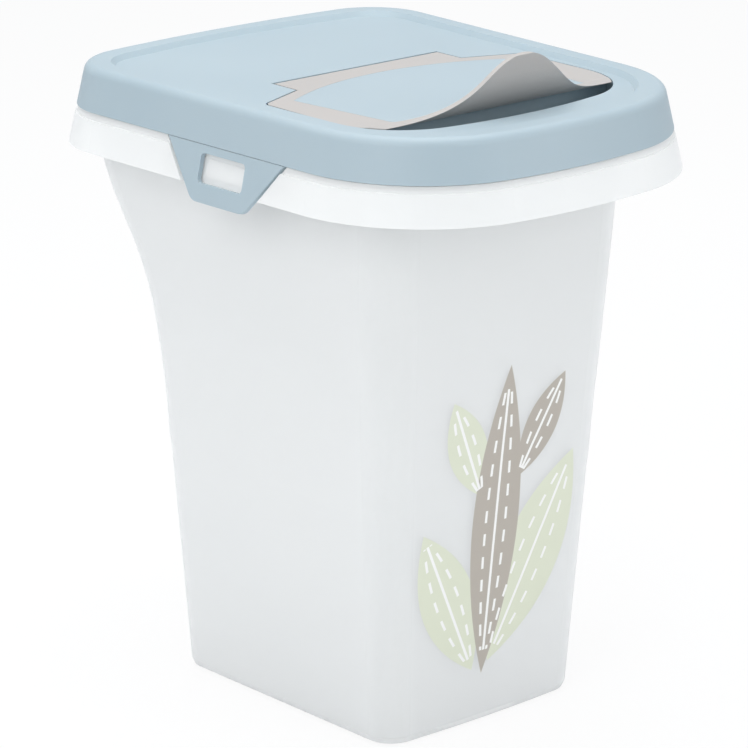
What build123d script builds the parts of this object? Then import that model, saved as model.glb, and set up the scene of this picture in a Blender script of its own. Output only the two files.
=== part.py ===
from build123d import *
import os
from math import atan2, cos, degrees, radians, sin, tan

# Pet food storage container: a translucent tapered tub, a lid with a skirt and
# two side latches, and a hinged pour flap with a curled finger lip.
# Millimetres, +Z up, front is -Y, origin on the floor under the middle of the tub rim.

# Lid outline, measured at the lower edge of its skirt
lid_front = 125.0  # from the origin forward to the middle of the front edge
lid_back = 125.0  # from the origin back to the middle of the back edge
lid_half_front = 94.0  # half width where the sides would meet the front edge
lid_half_back = 101.0  # half width where the sides would meet the back edge
lid_front_bulge = 17.0
lid_back_bulge = 8.0
lid_front_radius = 66.0
lid_back_radius = 36.0

# Lid heights and walls
skirt_base = 271.0
skirt_height = 19.0
skirt_draft = 13.0  # degrees
lid_wall = 2.2
ridge_radius = 4.5
dish_depth = 2.2
dish_margin = 15.0

# Rim band of the tub: ledge, hanging skirt and upstand
band_height = 17.0
band_wall = 2.0
rim_gap = 0.5  # between the lid's lower edge and the ledge
ledge_thickness = 2.0
bead_height = 3.0
bead_step = 0.9
upstand_height = 9.0
upstand_gap = 1.0  # between the upstand and the inside of the lid

# Tub shell: the outer wall, straight up to the second level and curved above it
# height, half width front, half width back, front, back, front radius, back radius
tub_levels = [
    (0.0, 58.0, 62.0, 68.0, 79.0, 14.0, 12.0),
    (110.0, 64.7, 68.4, 74.8, 84.5, 16.7, 13.8),
    (130.0, 66.0, 69.7, 76.2, 85.7, 17.2, 14.2),
    (150.0, 67.3, 71.2, 77.7, 87.2, 17.8, 14.7),
    (170.0, 68.6, 73.0, 79.3, 89.3, 18.3, 15.0),
    (190.0, 69.7, 75.2, 80.8, 93.0, 18.8, 15.0),
    (210.0, 70.8, 78.2, 82.2, 100.4, 19.2, 15.2),
    (230.0, 71.8, 81.8, 83.6, 109.2, 19.8, 15.7),
    (250.0, 72.8, 84.7, 84.9, 114.8, 20.3, 16.3),
    (skirt_base - rim_gap, 74.0, 87.0, 86.0, 118.0, 21.0, 17.0),
]
tub_bulge = 2.0  # crown of the front and back walls in plan
tub_wall = 2.0
base_radius = 4.0
base_step = 1.2  # height of the second step of the base edge

# Side latches
latch_offset = -5.0  # middle of each latch along the side, from the origin
latch_root = 76.0
latch_foot = 34.0
latch_drop = 25.0
latch_thickness = 2.2
latch_foot_radius = 7.0
latch_gap = 0.2  # thin line between latch root and skirt
window_length = 29.0
window_height = 13.0
window_rise = 8.5  # from the latch's lower edge to the window
window_radius = 2.0
latch_edge = 0.6
pocket_gap = 0.8  # between a closed latch and the pocket in the rim band
pocket_side_gap = 1.5
pocket_margin = 4.0  # pocket wall beyond each end of the latch root
catch_length = 25.0
catch_height = 8.0
catch_radius = 1.5
catch_reach = 0.45  # how far the catch stands into the gap behind the latch

# Pour flap, in plan
flap_half = 75.0
flap_front = 91.0  # forward to the middle of the front edge
flap_front_bulge = 12.0
flap_front_radius = 38.0
flap_lobe_y = -6.0  # where the shoulders meet the sides
flap_lobe_radius = 4.0
least_radius = 0.5  # smallest rounding left on an inset outline
notch_y = 5.0  # inner end of the notches beside the hinge tongue
tongue_half = 48.0
tongue_back = 21.0
flap_gap = 0.7
flap_thickness = 2.4
panel_thickness = 1.2
panel_tip = 62.0  # half length of the panel's pointed back edge
panel_tip_y = -9.0
panel_back = 8.0
panel_front_half = 54.0
panel_rim = 1.3  # rim of the lip left showing round the panel
panel_gap = 0.15

# Curled finger lip of the flap
lip_start = -64.0  # where the sheet leaves the flat
lip_radius = 21.0
lip_angle = 78.0  # degrees
lip_rise = 9.0  # straight length above the curl
lip_half = 61.0  # half width over which the lip rises and falls
lip_foot = 0.3  # how far both ends of the lip stand above the sheet

# Flap hinge and the opening under the flap
hinge_y = 14.0
hinge_drop = 0.8  # from the underside of the flap down to the pin axis
barrel_radius = 2.4
tongue_gap = 1.6
pin_radius = 1.5
pin_length = 4.0
bore_gap = 0.3
ear_length = 12.0
ear_width = 7.0
ear_drop = 9.0
seat_width = 3.5
seat_thickness = 2.2
seat_gap = 0.3
mouth_back = 1.0
mouth_front = -62.0
scoop_depth = 12.0
scoop_wall = 1.8
rib_gap = 0.8
rib_wall = 1.6
rib_depth = 5.0

# Working sizes for cuts and joins
beyond = 200.0  # longer than whatever a cut has to run through
weld = 0.2  # overlap that joins touching forms

# Heights worked out from the sizes above
upstand_inset = lid_wall + upstand_gap + upstand_height * tan(radians(skirt_draft))
ridge = skirt_base + skirt_height
dish_floor = ridge - dish_depth
plate_under = dish_floor - lid_wall
draft_slope = tan(radians(skirt_draft))
flap_top = dish_floor
flap_under = flap_top - flap_thickness
hinge_z = flap_under - hinge_drop
seat_under = flap_under - seat_gap - seat_thickness
scoop_under = dish_floor - scoop_depth
ear_middle = tongue_half + flap_gap + ear_width / 2
bore_reach = tongue_half + flap_gap + pin_length + bore_gap
ledge_top = skirt_base - rim_gap


def plan_outline(half_front, half_back, front, back, bulges, radii):
    # Closed outline, mirrored about the middle: crowned front and back, straight sides
    front_corner = -front + bulges[0]
    back_corner = back - bulges[1]
    with BuildLine() as border:
        ThreePointArc((-half_front, front_corner), (0, -front), (half_front, front_corner))
        Line((half_front, front_corner), (half_back, back_corner))
        ThreePointArc((half_back, back_corner), (0, back), (-half_back, back_corner))
        Line((-half_back, back_corner), (-half_front, front_corner))
    with BuildSketch() as face:
        add(border.line)
        make_face()
        corners = face.vertices().group_by(Axis.Y)
        fillet(corners[0], radius=radii[0])
        fillet(face.vertices().group_by(Axis.Y)[-1], radius=radii[1])
    return face.sketch


def lid_outline(inset=0.0):
    return plan_outline(
        lid_half_front - inset,
        lid_half_back - inset,
        lid_front - inset,
        lid_back - inset,
        (lid_front_bulge, lid_back_bulge),
        (lid_front_radius - inset, lid_back_radius - inset),
    )


def tub_outline(level, inset):
    return plan_outline(
        level[1] - inset,
        level[2] - inset,
        level[3] - inset,
        level[4] - inset,
        (tub_bulge, tub_bulge),
        (level[5] - inset, level[6] - inset),
    )


def flap_outline(grow=0.0):
    # Rounded front, two lobed shoulders and a narrower hinge tongue between notches
    half = flap_half + grow
    front = -flap_front - grow
    side_y = front + flap_front_bulge
    lobe_y = flap_lobe_y + grow
    tongue = tongue_half + grow
    notch = notch_y + grow
    back = tongue_back + grow
    with BuildLine() as border:
        ThreePointArc((-half, side_y), (0, front), (half, side_y))
        Polyline(
            (half, side_y),
            (half, lobe_y),
            (tongue, notch),
            (tongue, back),
            (-tongue, back),
            (-tongue, notch),
            (-half, lobe_y),
            (-half, side_y),
        )
    with BuildSketch() as face:
        add(border.line)
        make_face()
        fillet(face.vertices().group_by(Axis.Y)[0], radius=flap_front_radius + grow)
        lobes = face.vertices().filter_by(lambda v: abs(v.Y - lobe_y) < 0.01)
        fillet(lobes, radius=max(flap_lobe_radius + grow, least_radius))
    return face.sketch


def curl_section(drop, thickness):
    # Side view of a layer of the flap sheet: flat from the hinge, then curling up to the lip
    top = flap_top - drop
    inner = lip_radius + drop
    outer = inner + thickness
    centre = Vector(lip_start, top + inner)
    reach = tongue_back + tongue_gap
    turn = radians(lip_angle)
    end_way = Vector(-sin(turn), -cos(turn))
    middle_way = Vector(-sin(turn / 2), -cos(turn / 2))
    rise = Vector(-cos(turn), sin(turn)) * lip_rise
    with BuildSketch() as section:
        with BuildLine():
            Line((reach, top), (lip_start, top))
            ThreePointArc((lip_start, top), centre + middle_way * inner, centre + end_way * inner)
            Line(centre + end_way * inner, centre + end_way * inner + rise)
            Line(centre + end_way * inner + rise, centre + end_way * outer + rise)
            Line(centre + end_way * outer + rise, centre + end_way * outer)
            ThreePointArc(
                centre + end_way * outer, centre + middle_way * outer, (lip_start, top - thickness)
            )
            Line((lip_start, top - thickness), (reach, top - thickness))
            Line((reach, top - thickness), (reach, top))
        make_face()
    return section.sketch


# Top of the lip, worked out from the curl's radius, angle and straight length
lip_turn = radians(lip_angle)
lip_top = flap_top + lip_radius * (1 - cos(lip_turn)) + lip_rise * sin(lip_turn)


def lip_front_view(drop, half):
    # Front view that trims the curl: low at both ends, rising in an S to the middle
    low = flap_top + lip_foot
    wide = beyond / 2
    foot = flap_under - beyond
    with BuildSketch() as face:
        with BuildLine():
            Spline(
                (-half, low),
                (0, lip_top - drop),
                (half, low),
                tangents=[(1, 0), (1, 0), (1, 0)],
            )
            Polyline((half, low), (wide, low), (wide, foot), (-wide, foot), (-wide, low), (-half, low))
        make_face()
    return face.sketch


def side_frame(side, height):
    # Frame on the side of the rim: x along the side towards the front or back,
    # y up the drafted face, z outward
    swing = radians(side_turn)
    tilt = radians(skirt_draft)
    level = Vector(side * cos(swing), -sin(swing), 0)
    along = Vector(0, 0, 1).cross(level)
    outward = level * cos(tilt) + Vector(0, 0, 1) * sin(tilt)
    return Plane(origin=(side * side_half, latch_offset, height), x_dir=along, z_dir=outward)


def latch_shape(grow=0.0):
    # Latch seen square on: wide root, narrow rounded foot; y runs down from the root
    root = latch_root / 2 + grow
    foot = latch_foot / 2 + grow
    drop = latch_drop + grow
    with BuildSketch() as face:
        with BuildLine():
            Polyline((-root, 0), (root, 0), (foot, -drop), (-foot, -drop), (-root, 0))
        make_face()
        fillet(face.vertices().group_by(Axis.Y)[0], radius=latch_foot_radius + grow)
    return face.sketch


def mouth_shape(inset):
    # Pour opening in plan, inside the seat of the flap
    depth = mouth_back - mouth_front - 2 * inset
    with BuildSketch() as face:
        add(flap_outline(-seat_width - inset))
        with Locations((0, (mouth_back + mouth_front) / 2)):
            Rectangle(beyond, depth, mode=Mode.INTERSECT)
    return face.sketch


def panel_blank(gap):
    # Leaf-shaped layer on top of the flap sheet; it runs up the curl to just under the rim
    tip = panel_tip - gap
    front_half = panel_front_half - gap
    with BuildPart() as layer:
        with BuildSketch(Plane.YZ):
            add(curl_section(0, panel_thickness))
        extrude(amount=beyond, both=True)
        with BuildSketch(Plane.XY.offset(seat_under)):
            with BuildLine():
                ThreePointArc((-tip, panel_tip_y), (0, panel_back - gap), (tip, panel_tip_y))
                Line((tip, panel_tip_y), (front_half, -flap_front + flap_front_bulge))
                Polyline(
                    (front_half, -flap_front + flap_front_bulge),
                    (front_half, -beyond),
                    (-front_half, -beyond),
                    (-front_half, -flap_front + flap_front_bulge),
                )
                Line((-front_half, -flap_front + flap_front_bulge), (-tip, panel_tip_y))
            make_face()
        extrude(amount=beyond, mode=Mode.INTERSECT)
        with BuildSketch(Plane.XZ):
            add(lip_front_view(panel_rim + gap, lip_half - panel_rim - gap))
        extrude(amount=beyond, both=True, mode=Mode.INTERSECT)
    return layer.part


os.makedirs("parts", exist_ok=True)

# The sides run slightly wider to the back; the latches follow them
side_run = lid_back - lid_back_bulge + lid_front - lid_front_bulge
side_turn = degrees(atan2(lid_half_back - lid_half_front, side_run))
side_half = lid_half_front + (latch_offset + lid_front - lid_front_bulge) * tan(radians(side_turn))
pocket_depth = latch_thickness + pocket_gap
band_base = ledge_top - band_height
ledge_under = ledge_top - ledge_thickness
window_middle = -latch_drop + window_rise + window_height / 2

# Rim band: ledge, hanging skirt with a bead line, and a pocket behind each latch
with BuildPart() as band:
    with BuildSketch(Plane.XY.offset(band_base)):
        add(lid_outline(-band_height * draft_slope))
    extrude(amount=band_height - bead_height, taper=skirt_draft)
    with BuildSketch(Plane.XY.offset(ledge_top - bead_height)):
        add(lid_outline(bead_step - bead_height * draft_slope))
    extrude(amount=bead_height, taper=skirt_draft)
    with BuildSketch(Plane.XY.offset(band_base)):
        add(lid_outline(band_wall - band_height * draft_slope))
    extrude(amount=band_height - ledge_thickness, taper=skirt_draft, mode=Mode.SUBTRACT)
    for side in (-1, 1):
        frame = side_frame(side, skirt_base)
        with BuildSketch(frame.offset(-pocket_depth)):
            with Locations((0, -band_height / 2 - rim_gap)):
                Rectangle(latch_root + 2 * pocket_margin, band_height - 2 * rim_gap)
        extrude(amount=-band_wall)
        with BuildSketch(frame.offset(-pocket_depth)):
            add(latch_shape(pocket_side_gap))
            with Locations((0, rim_gap)):
                Rectangle(latch_root + 2 * pocket_side_gap, 2 * rim_gap)
        extrude(amount=beyond, mode=Mode.SUBTRACT)
        with BuildSketch(frame.offset(-pocket_depth)):
            with Locations((0, window_middle)):
                RectangleRounded(catch_length, catch_height, catch_radius)
        extrude(amount=catch_reach)

# Tub: tapered shell whose back flares into a hand grip under the rim
with BuildPart() as tub:
    with BuildSketch(Plane.XY):
        add(tub_outline(tub_levels[0], base_radius))
    with BuildSketch(Plane.XY.offset(base_step)):
        add(tub_outline(tub_levels[0], base_step))
    with BuildSketch(Plane.XY.offset(base_radius)):
        add(tub_outline(tub_levels[0], 0))
    with BuildSketch(Plane.XY.offset(tub_levels[1][0])):
        add(tub_outline(tub_levels[1], 0))
    loft(ruled=True)
    for level in tub_levels[1:]:
        with BuildSketch(Plane.XY.offset(level[0])):
            add(tub_outline(level, 0))
    loft()
    add(band.part)
    for level in tub_levels[1:]:
        with BuildSketch(Plane.XY.offset(level[0])):
            add(tub_outline(level, tub_wall))
    loft(mode=Mode.SUBTRACT)
    with BuildSketch(Plane.XY.offset(tub_wall)):
        add(tub_outline(tub_levels[0], base_radius))
    with BuildSketch(Plane.XY.offset(base_radius)):
        add(tub_outline(tub_levels[0], tub_wall))
    with BuildSketch(Plane.XY.offset(tub_levels[1][0])):
        add(tub_outline(tub_levels[1], tub_wall))
    loft(ruled=True, mode=Mode.SUBTRACT)
    with BuildSketch(Plane.XY.offset(ledge_under)):
        add(lid_outline(upstand_inset))
        add(lid_outline(upstand_inset + tub_wall), mode=Mode.SUBTRACT)
    extrude(amount=upstand_height + ledge_thickness)
tub.part.label = "tub"
export_step(tub.part, "parts/tub.step")

# Lid: drafted skirt, rounded ridge, shallow dish, seat and finger scoop for the flap
with BuildPart() as lid:
    with BuildSketch(Plane.XY.offset(skirt_base)):
        add(lid_outline())
    extrude(amount=skirt_height, taper=skirt_draft)
    fillet(lid.faces().sort_by(Axis.Z)[-1].edges(), radius=ridge_radius)
    with BuildSketch(Plane.XY.offset(dish_floor)):
        add(lid_outline(dish_margin + dish_depth))
    extrude(amount=dish_depth, taper=-45, mode=Mode.SUBTRACT)
    with BuildPart(mode=Mode.PRIVATE) as inside:
        with BuildSketch(Plane.XY.offset(skirt_base)):
            add(lid_outline(lid_wall))
        extrude(amount=skirt_height - dish_depth - lid_wall, taper=skirt_draft)
        fillet(inside.faces().sort_by(Axis.Z)[-1].edges(), radius=ridge_radius - lid_wall / 2)
    add(inside.part, mode=Mode.SUBTRACT)
    # Collar, seat, finger scoop and hinge ears under the plate
    with BuildSketch(Plane.XY.offset(seat_under)):
        add(flap_outline(flap_gap + scoop_wall))
    extrude(amount=plate_under - seat_under)
    with BuildSketch(Plane.XY.offset(scoop_under)):
        add(flap_outline(flap_gap + scoop_wall))
        with Locations((0, mouth_front + beyond / 2)):
            Rectangle(beyond, beyond, mode=Mode.SUBTRACT)
    extrude(amount=plate_under - scoop_under)
    with BuildSketch(Plane.XY.offset(hinge_z - ear_drop / 2)):
        with Locations((-ear_middle, hinge_y), (ear_middle, hinge_y)):
            Rectangle(ear_width, ear_length)
    extrude(amount=plate_under - hinge_z + ear_drop / 2)
    with BuildSketch(Plane.XY.offset(flap_under - seat_gap)):
        add(flap_outline(flap_gap))
    extrude(amount=beyond, mode=Mode.SUBTRACT)
    with BuildSketch(Plane.XY.offset(skirt_base)):
        add(mouth_shape(0))
        with Locations((0, (notch_y + tongue_back + tongue_gap) / 2)):
            Rectangle(2 * (tongue_half + flap_gap), tongue_back + tongue_gap - notch_y)
    extrude(amount=beyond, mode=Mode.SUBTRACT)
    with BuildSketch(Plane.XY.offset(scoop_under + scoop_wall)):
        add(flap_outline(flap_gap))
        with Locations((0, mouth_front - scoop_wall + beyond / 2)):
            Rectangle(beyond, beyond, mode=Mode.SUBTRACT)
    extrude(amount=beyond, mode=Mode.SUBTRACT)
    with BuildSketch(Plane.YZ.offset(-bore_reach)):
        with Locations((hinge_y, hinge_z)):
            Circle(pin_radius + bore_gap)
    extrude(amount=2 * bore_reach, mode=Mode.SUBTRACT)
lid.part.label = "lid"
export_step(lid.part, "parts/lid.step")

# Flap frame: moulded sheet with the curled lip, seal rib and hinge pins
with BuildPart() as flap_frame:
    with BuildSketch(Plane.YZ):
        add(curl_section(0, flap_thickness))
    extrude(amount=beyond, both=True)
    with BuildSketch(Plane.XY.offset(seat_under)):
        add(flap_outline())
    extrude(amount=beyond, mode=Mode.INTERSECT)
    with BuildSketch(Plane.XZ):
        add(lip_front_view(0, lip_half))
    extrude(amount=beyond, both=True, mode=Mode.INTERSECT)
    with BuildPart(mode=Mode.PRIVATE) as pocket:
        add(panel_blank(0))
    add(pocket.part, mode=Mode.SUBTRACT)
    with BuildSketch(Plane.XY.offset(flap_under - rib_depth)):
        add(mouth_shape(rib_gap))
        add(mouth_shape(rib_gap + rib_wall), mode=Mode.SUBTRACT)
    extrude(amount=rib_depth + weld)
    with BuildSketch(Plane.YZ.offset(-tongue_half)):
        with Locations((hinge_y, hinge_z)):
            Circle(barrel_radius)
    extrude(amount=2 * tongue_half)
    with BuildSketch(Plane.YZ.offset(-tongue_half - flap_gap - pin_length)):
        with Locations((hinge_y, hinge_z)):
            Circle(pin_radius)
    extrude(amount=2 * (tongue_half + flap_gap + pin_length))
flap_frame.part.label = "flap_frame"
export_step(flap_frame.part, "parts/flap_frame.step")

# Flap panel: coloured leaf-shaped insert that follows the curl
with BuildPart() as flap_panel:
    add(panel_blank(panel_gap))
flap_panel.part.label = "flap_panel"
export_step(flap_panel.part, "parts/flap_panel.step")

# Side latches: windowed tabs that hang from the skirt and flex outward at their roots
for side, name in ((-1, "latch_left"), (1, "latch_right")):
    with BuildPart() as latch:
        frame = side_frame(side, skirt_base - latch_gap)
        with BuildSketch(frame):
            add(latch_shape())
            with Locations((0, window_middle)):
                RectangleRounded(window_length, window_height, window_radius, mode=Mode.SUBTRACT)
        extrude(amount=-latch_thickness)
        outer_face = latch.faces().sort_by(Axis((0, 0, 0), frame.z_dir))[-1]
        fillet(outer_face.outer_wire().edges().sort_by(Axis.Z)[:-1], radius=latch_edge)
    latch.part.label = name
    export_step(latch.part, "parts/" + name + ".step")
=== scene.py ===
import bpy
from math import radians
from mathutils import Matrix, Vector

# Pet food storage container, dressed for a pale studio picture
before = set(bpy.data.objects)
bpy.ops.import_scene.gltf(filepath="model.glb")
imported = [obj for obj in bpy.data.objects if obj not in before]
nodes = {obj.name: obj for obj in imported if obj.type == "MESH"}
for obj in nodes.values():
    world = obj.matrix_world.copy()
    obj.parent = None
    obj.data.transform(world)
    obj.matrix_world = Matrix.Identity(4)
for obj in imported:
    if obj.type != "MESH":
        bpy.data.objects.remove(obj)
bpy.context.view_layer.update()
print("frame loaded")

# Values that every plastic shares
shared = {
    "ior": 1.49,
    "flowLow": 0.3,
    "flowHigh": 0.7,
    "roughSpread": 0.06,
    "scatterRadius": (0.6, 0.8, 1.0),
    "scatterScale": 0.002,
}


# Node helpers
def newMaterial(name):
    material = bpy.data.materials.new(name)
    material.use_nodes = True
    material.node_tree.nodes.clear()
    return material


def place(tree, kind, **settings):
    node = tree.nodes.new(kind)
    for key, value in settings.items():
        setattr(node, key, value)
    return node


def feed(tree, socket, value):
    if isinstance(value, bpy.types.NodeSocket):
        tree.links.new(value, socket)
    else:
        socket.default_value = value


def calc(tree, operation, first, second=0.0):
    node = place(tree, "ShaderNodeMath", operation=operation)
    feed(tree, node.inputs[0], first)
    feed(tree, node.inputs[1], second)
    return node.outputs[0]


def ramp(tree, value, low, high, start=0.0, end=1.0):
    node = place(tree, "ShaderNodeMapRange", clamp=True)
    feed(tree, node.inputs["Value"], value)
    node.inputs["From Min"].default_value = low
    node.inputs["From Max"].default_value = high
    node.inputs["To Min"].default_value = start
    node.inputs["To Max"].default_value = end
    return node.outputs[0]


def blendColour(tree, share, first, second):
    node = place(tree, "ShaderNodeMix", data_type="RGBA")
    feed(tree, node.inputs["Factor"], share)
    feed(tree, node.inputs["A"], first)
    feed(tree, node.inputs["B"], second)
    return node.outputs["Result"]


def mixShaders(tree, share, first, second):
    node = place(tree, "ShaderNodeMixShader")
    feed(tree, node.inputs[0], share)
    tree.links.new(first, node.inputs[1])
    tree.links.new(second, node.inputs[2])
    return node.outputs[0]


# Fine spark-eroded mould grain and slow flow marks, shared by every plastic
def makeGrain():
    grain = {"fine": 1500.0, "flow": 14.0, "flowDetail": 3.0, "distance": 0.00006}
    group = bpy.data.node_groups.new("mouldGrain", "ShaderNodeTree")
    group.interface.new_socket("Vector", in_out="INPUT", socket_type="NodeSocketVector")
    group.interface.new_socket("Strength", in_out="INPUT", socket_type="NodeSocketFloat")
    group.interface.new_socket("Flow", in_out="OUTPUT", socket_type="NodeSocketFloat")
    group.interface.new_socket("Normal", in_out="OUTPUT", socket_type="NodeSocketVector")
    entry = group.nodes.new("NodeGroupInput")
    leave = group.nodes.new("NodeGroupOutput")
    fine = place(group, "ShaderNodeTexNoise")
    fine.inputs["Scale"].default_value = grain["fine"]
    flow = place(group, "ShaderNodeTexNoise")
    flow.inputs["Scale"].default_value = grain["flow"]
    flow.inputs["Detail"].default_value = grain["flowDetail"]
    bump = place(group, "ShaderNodeBump")
    bump.inputs["Distance"].default_value = grain["distance"]
    group.links.new(entry.outputs["Vector"], fine.inputs["Vector"])
    group.links.new(entry.outputs["Vector"], flow.inputs["Vector"])
    group.links.new(entry.outputs["Strength"], bump.inputs["Strength"])
    group.links.new(fine.outputs[0], bump.inputs["Height"])
    group.links.new(flow.outputs[0], leave.inputs["Flow"])
    group.links.new(bump.outputs["Normal"], leave.inputs["Normal"])
    return group


grainGroup = makeGrain()


def useGrain(tree, strength):
    spot = place(tree, "ShaderNodeTexCoord")
    grain = place(tree, "ShaderNodeGroup", node_tree=grainGroup)
    tree.links.new(spot.outputs["Object"], grain.inputs["Vector"])
    grain.inputs["Strength"].default_value = strength
    return spot.outputs["Object"], grain.outputs["Flow"], grain.outputs["Normal"]


# One long leaf in the front plane: a mask, and a mask of the pale dashes on it
def makeLeaf():
    leaf = {
        "edge": 0.00025,
        "pitch": 0.011,
        "dash": 0.52,
        "line": 0.0007,
        "offset": 0.42,
        "end": 0.84,
    }
    group = bpy.data.node_groups.new("leafMotif", "ShaderNodeTree")
    group.interface.new_socket("Vector", in_out="INPUT", socket_type="NodeSocketVector")
    for name in ("Half Length", "Half Width"):
        group.interface.new_socket(name, in_out="INPUT", socket_type="NodeSocketFloat")
    for name in ("Leaf", "Dashes"):
        group.interface.new_socket(name, in_out="OUTPUT", socket_type="NodeSocketFloat")
    entry = group.nodes.new("NodeGroupInput")
    leave = group.nodes.new("NodeGroupOutput")
    axes = place(group, "ShaderNodeSeparateXYZ")
    group.links.new(entry.outputs["Vector"], axes.inputs[0])
    across = calc(group, "ABSOLUTE", axes.outputs["X"])
    share = calc(group, "DIVIDE", axes.outputs["Z"], entry.outputs["Half Length"])
    taper = calc(group, "SUBTRACT", 1.0, calc(group, "MULTIPLY", share, share))
    reach = calc(group, "MULTIPLY", taper, entry.outputs["Half Width"])
    mask = ramp(group, calc(group, "SUBTRACT", reach, across), 0.0, leaf["edge"])
    row = calc(group, "FRACT", calc(group, "DIVIDE", axes.outputs["Z"], leaf["pitch"]))
    broken = calc(group, "LESS_THAN", row, leaf["dash"])
    track = calc(group, "SUBTRACT", across, calc(group, "MULTIPLY", reach, leaf["offset"]))
    thin = calc(group, "LESS_THAN", calc(group, "ABSOLUTE", track), leaf["line"])
    rib = calc(group, "LESS_THAN", across, leaf["line"])
    marks = calc(group, "MAXIMUM", calc(group, "MULTIPLY", broken, thin), rib)
    inner = calc(group, "LESS_THAN", calc(group, "ABSOLUTE", share), leaf["end"])
    marks = calc(group, "MULTIPLY", marks, inner)
    group.links.new(mask, leave.inputs["Leaf"])
    group.links.new(calc(group, "MULTIPLY", marks, mask), leave.inputs["Dashes"])
    return group


leafGroup = makeLeaf()


def flowBetween(tree, flow, start=0.0, end=1.0):
    return ramp(tree, flow, shared["flowLow"], shared["flowHigh"], start, end)


# Satin plastic with grain, flow marks and a soft sheen
def makePlastic(name, values):
    material = newMaterial(name)
    tree = material.node_tree
    flow, normal = useGrain(tree, values["grain"])[1:]
    body = place(tree, "ShaderNodeBsdfPrincipled")
    tint = blendColour(tree, flowBetween(tree, flow), values["colour"], values["second"])
    tree.links.new(tint, body.inputs["Base Color"])
    roughness = flowBetween(tree, flow, values["rough"], values["rough"] + shared["roughSpread"])
    tree.links.new(roughness, body.inputs["Roughness"])
    body.inputs["IOR"].default_value = shared["ior"]
    body.inputs["Subsurface Weight"].default_value = values["soft"]
    body.inputs["Subsurface Radius"].default_value = shared["scatterRadius"]
    body.inputs["Subsurface Scale"].default_value = shared["scatterScale"]
    tree.links.new(normal, body.inputs["Normal"])
    out = place(tree, "ShaderNodeOutputMaterial")
    tree.links.new(body.outputs[0], out.inputs["Surface"])
    return material


# Milky tub wall with a printed leaf spray on its front
def makeTub(values):
    material = newMaterial("milkyTub")
    tree = material.node_tree
    spot, flow, normal = useGrain(tree, values["grain"])
    wall = place(tree, "ShaderNodeBsdfPrincipled")
    tint = blendColour(tree, flowBetween(tree, flow), values["colour"], values["second"])
    tree.links.new(tint, wall.inputs["Base Color"])
    wall.inputs["Roughness"].default_value = values["rough"]
    wall.inputs["IOR"].default_value = shared["ior"]
    tree.links.new(normal, wall.inputs["Normal"])
    glow = place(tree, "ShaderNodeBsdfTranslucent")
    tree.links.new(tint, glow.inputs["Color"])
    clear = place(tree, "ShaderNodeBsdfTransparent")
    clear.inputs["Color"].default_value = values["clear"]
    facing = place(tree, "ShaderNodeLayerWeight")
    facing.inputs["Blend"].default_value = values["facingBlend"]
    share = facing.outputs["Facing"]
    seeThrough = ramp(tree, share, 0.0, 1.0, values["open"], values["openEdge"])
    milk = mixShaders(tree, values["glow"], wall.outputs[0], glow.outputs[0])
    milk = mixShaders(tree, seeThrough, milk, clear.outputs[0])

    # Ink lies only on the outer face of the front wall
    axes = place(tree, "ShaderNodeSeparateXYZ")
    tree.links.new(spot, axes.inputs[0])
    lean = calc(tree, "MULTIPLY", axes.outputs["Z"], values["lean"])
    square = calc(tree, "MULTIPLY", axes.outputs["X"], axes.outputs["X"])
    crown = calc(tree, "MULTIPLY", square, values["crown"])
    depth = calc(tree, "SUBTRACT", calc(tree, "ADD", axes.outputs["Y"], lean), crown)
    outer = calc(tree, "LESS_THAN", depth, -values["front"])
    ink = {"sage": 0.0, "taupe": 0.0}
    marks = 0.0
    for tone, x, z, turn, halfLength, halfWidth in values["leaves"]:
        shift = place(tree, "ShaderNodeMapping", vector_type="TEXTURE")
        tree.links.new(spot, shift.inputs["Vector"])
        shift.inputs["Location"].default_value = (x, 0.0, z)
        shift.inputs["Rotation"].default_value = (0.0, radians(turn), 0.0)
        leaf = place(tree, "ShaderNodeGroup", node_tree=leafGroup)
        tree.links.new(shift.outputs[0], leaf.inputs["Vector"])
        leaf.inputs["Half Length"].default_value = halfLength
        leaf.inputs["Half Width"].default_value = halfWidth
        ink[tone] = calc(tree, "MAXIMUM", leaf.outputs["Leaf"], ink[tone])
        marks = calc(tree, "MAXIMUM", leaf.outputs["Dashes"], marks)
    colour = blendColour(tree, ink["taupe"], values["sage"], values["taupe"])
    colour = blendColour(tree, marks, colour, values["pale"])
    covered = calc(tree, "MULTIPLY", calc(tree, "MAXIMUM", ink["sage"], ink["taupe"]), outer)
    printed = place(tree, "ShaderNodeBsdfPrincipled")
    tree.links.new(colour, printed.inputs["Base Color"])
    printed.inputs["Roughness"].default_value = values["inkRough"]
    tree.links.new(normal, printed.inputs["Normal"])
    out = place(tree, "ShaderNodeOutputMaterial")
    tree.links.new(mixShaders(tree, covered, milk, printed.outputs[0]), out.inputs["Surface"])
    return material


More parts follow.
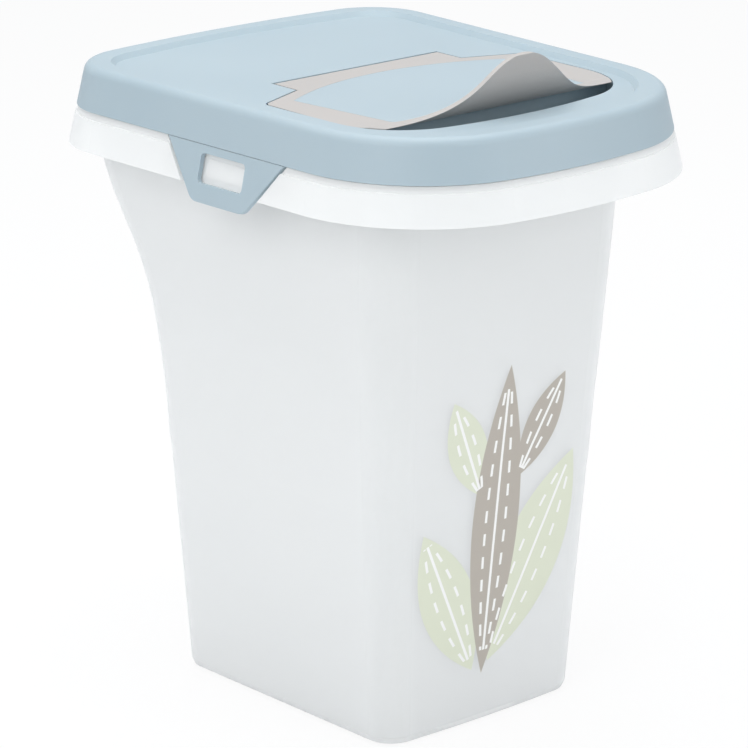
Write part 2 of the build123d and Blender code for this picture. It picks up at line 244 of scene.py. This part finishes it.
lidPlastic = makePlastic(
    "lidPlastic",
    {
        "colour": (0.365, 0.455, 0.505, 1.0),
        "second": (0.38, 0.468, 0.516, 1.0),
        "rough": 0.42,
        "grain": 0.35,
        "soft": 0.15,
    },
)
framePlastic = makePlastic(
    "flapFramePlastic",
    {
        "colour": (0.445, 0.425, 0.41, 1.0),
        "second": (0.46, 0.438, 0.42, 1.0),
        "rough": 0.40,
        "grain": 0.30,
        "soft": 0.1,
    },
)
panelPlastic = makePlastic(
    "flapPanelPlastic",
    {
        "colour": (0.372, 0.462, 0.512, 1.0),
        "second": (0.386, 0.474, 0.522, 1.0),
        "rough": 0.38,
        "grain": 0.28,
        "soft": 0.15,
    },
)
tubPlastic = makeTub(
    {
        "colour": (0.955, 0.96, 0.955, 1.0),
        "second": (0.965, 0.968, 0.962, 1.0),
        "rough": 0.36,
        "grain": 0.25,
        "glow": 0.16,
        "clear": (0.97, 0.98, 0.98, 1.0),
        "facingBlend": 0.35,
        "open": 0.40,
        "openEdge": 0.08,
        "front": 0.067,
        "lean": 0.0618,
        "crown": 0.55,
        "sage": (0.69, 0.72, 0.58, 1.0),
        "taupe": (0.45, 0.41, 0.36, 1.0),
        "pale": (0.88, 0.88, 0.86, 1.0),
        "inkRough": 0.45,
        "leaves": [
            ("sage", 0.022, 0.076, 27.0, 0.052, 0.019),
            ("sage", -0.027, 0.064, -24.0, 0.040, 0.015),
            ("sage", -0.020, 0.136, -22.0, 0.026, 0.011),
            ("taupe", -0.001, 0.098, 3.0, 0.074, 0.014),
            ("taupe", 0.024, 0.139, 30.0, 0.026, 0.010),
        ],
    }
)

looks = {
    "tub": tubPlastic,
    "lid": lidPlastic,
    "latch_left": lidPlastic,
    "latch_right": lidPlastic,
    "flap_frame": framePlastic,
    "flap_panel": panelPlastic,
}
for nodeName, look in looks.items():
    mesh = nodes[nodeName].data
    if not mesh.materials:
        mesh.materials.append(look)
    for index in range(len(mesh.materials)):
        mesh.materials[index] = look
print("materials set")

# Pale floor that the camera sees nearly white
floorValues = {"size": 8.0, "colour": (0.86, 0.87, 0.88, 1.0), "seen": 0.88}
bpy.ops.object.select_all(action="DESELECT")
bpy.ops.mesh.primitive_plane_add(size=floorValues["size"], location=(0.0, 0.0, 0.0))
floor = bpy.context.object
floor.name = "floor"
floorLook = newMaterial("paleFloor")
floorTree = floorLook.node_tree
matte = place(floorTree, "ShaderNodeBsdfDiffuse")
matte.inputs["Color"].default_value = floorValues["colour"]
bright = place(floorTree, "ShaderNodeEmission")
bright.inputs["Color"].default_value = (1.0, 1.0, 1.0, 1.0)
ray = place(floorTree, "ShaderNodeLightPath")
seen = calc(floorTree, "MULTIPLY", ray.outputs["Is Camera Ray"], floorValues["seen"])
floorOut = place(floorTree, "ShaderNodeOutputMaterial")
floorTree.links.new(
    mixShaders(floorTree, seen, matte.outputs[0], bright.outputs[0]), floorOut.inputs["Surface"]
)
floor.data.materials.append(floorLook)

# Soft studio light, with a white backdrop that only the camera sees
worldValues = {"colour": (0.95, 0.97, 1.0, 1.0), "strength": 0.64, "seen": (1.0, 1.0, 1.0, 1.0)}
world = bpy.data.worlds.new("studio")
bpy.context.scene.world = world
world.use_nodes = True
world.node_tree.nodes.clear()
sky = place(world.node_tree, "ShaderNodeBackground")
sky.inputs["Color"].default_value = worldValues["colour"]
sky.inputs["Strength"].default_value = worldValues["strength"]
white = place(world.node_tree, "ShaderNodeBackground")
white.inputs["Color"].default_value = worldValues["seen"]
white.inputs["Strength"].default_value = 1.0
worldRay = place(world.node_tree, "ShaderNodeLightPath")
worldOut = place(world.node_tree, "ShaderNodeOutputWorld")
seenByCamera = worldRay.outputs["Is Camera Ray"]
backdrop = mixShaders(world.node_tree, seenByCamera, sky.outputs[0], white.outputs[0])
world.node_tree.links.new(backdrop, worldOut.inputs["Surface"])

lampAim = Vector((0.0, 0.0, 0.16))
lamps = {
    "topSoft": {"at": (0.0, 0.15, 1.5), "size": 1.4, "power": 14.8},
    "keySoft": {"at": (-1.3, -0.5, 1.0), "size": 0.9, "power": 7.4},
    "fillSoft": {"at": (0.8, -1.5, 0.7), "size": 1.0, "power": 5.6},
}
for lampName, values in lamps.items():
    light = bpy.data.lights.new(lampName, "AREA")
    light.shape = "SQUARE"
    light.size = values["size"]
    light.energy = values["power"]
    lamp = bpy.data.objects.new(lampName, light)
    bpy.context.scene.collection.objects.link(lamp)
    lamp.location = values["at"]
    lamp.rotation_euler = (lampAim - lamp.location).to_track_quat("-Z", "Y").to_euler()
print("floor and lights set")

# Camera at the photograph's angle
cameraValues = {
    "at": (-1.0532, -1.2091, 0.6610),
    "target": (0.0, 0.0, 0.140),
    "lens": 177.68,
    "shiftX": -0.0190,
    "shiftY": 0.0241,
}
cameraData = bpy.data.cameras.new("camera")
cameraData.lens = cameraValues["lens"]
cameraData.shift_x = cameraValues["shiftX"]
cameraData.shift_y = cameraValues["shiftY"]
camera = bpy.data.objects.new("camera", cameraData)
bpy.context.scene.collection.objects.link(camera)
camera.location = cameraValues["at"]
aim = Vector(cameraValues["target"]) - camera.location
camera.rotation_euler = aim.to_track_quat("-Z", "Y").to_euler()
bpy.context.scene.camera = camera
bpy.context.scene.view_settings.view_transform = "Standard"
print("camera set")
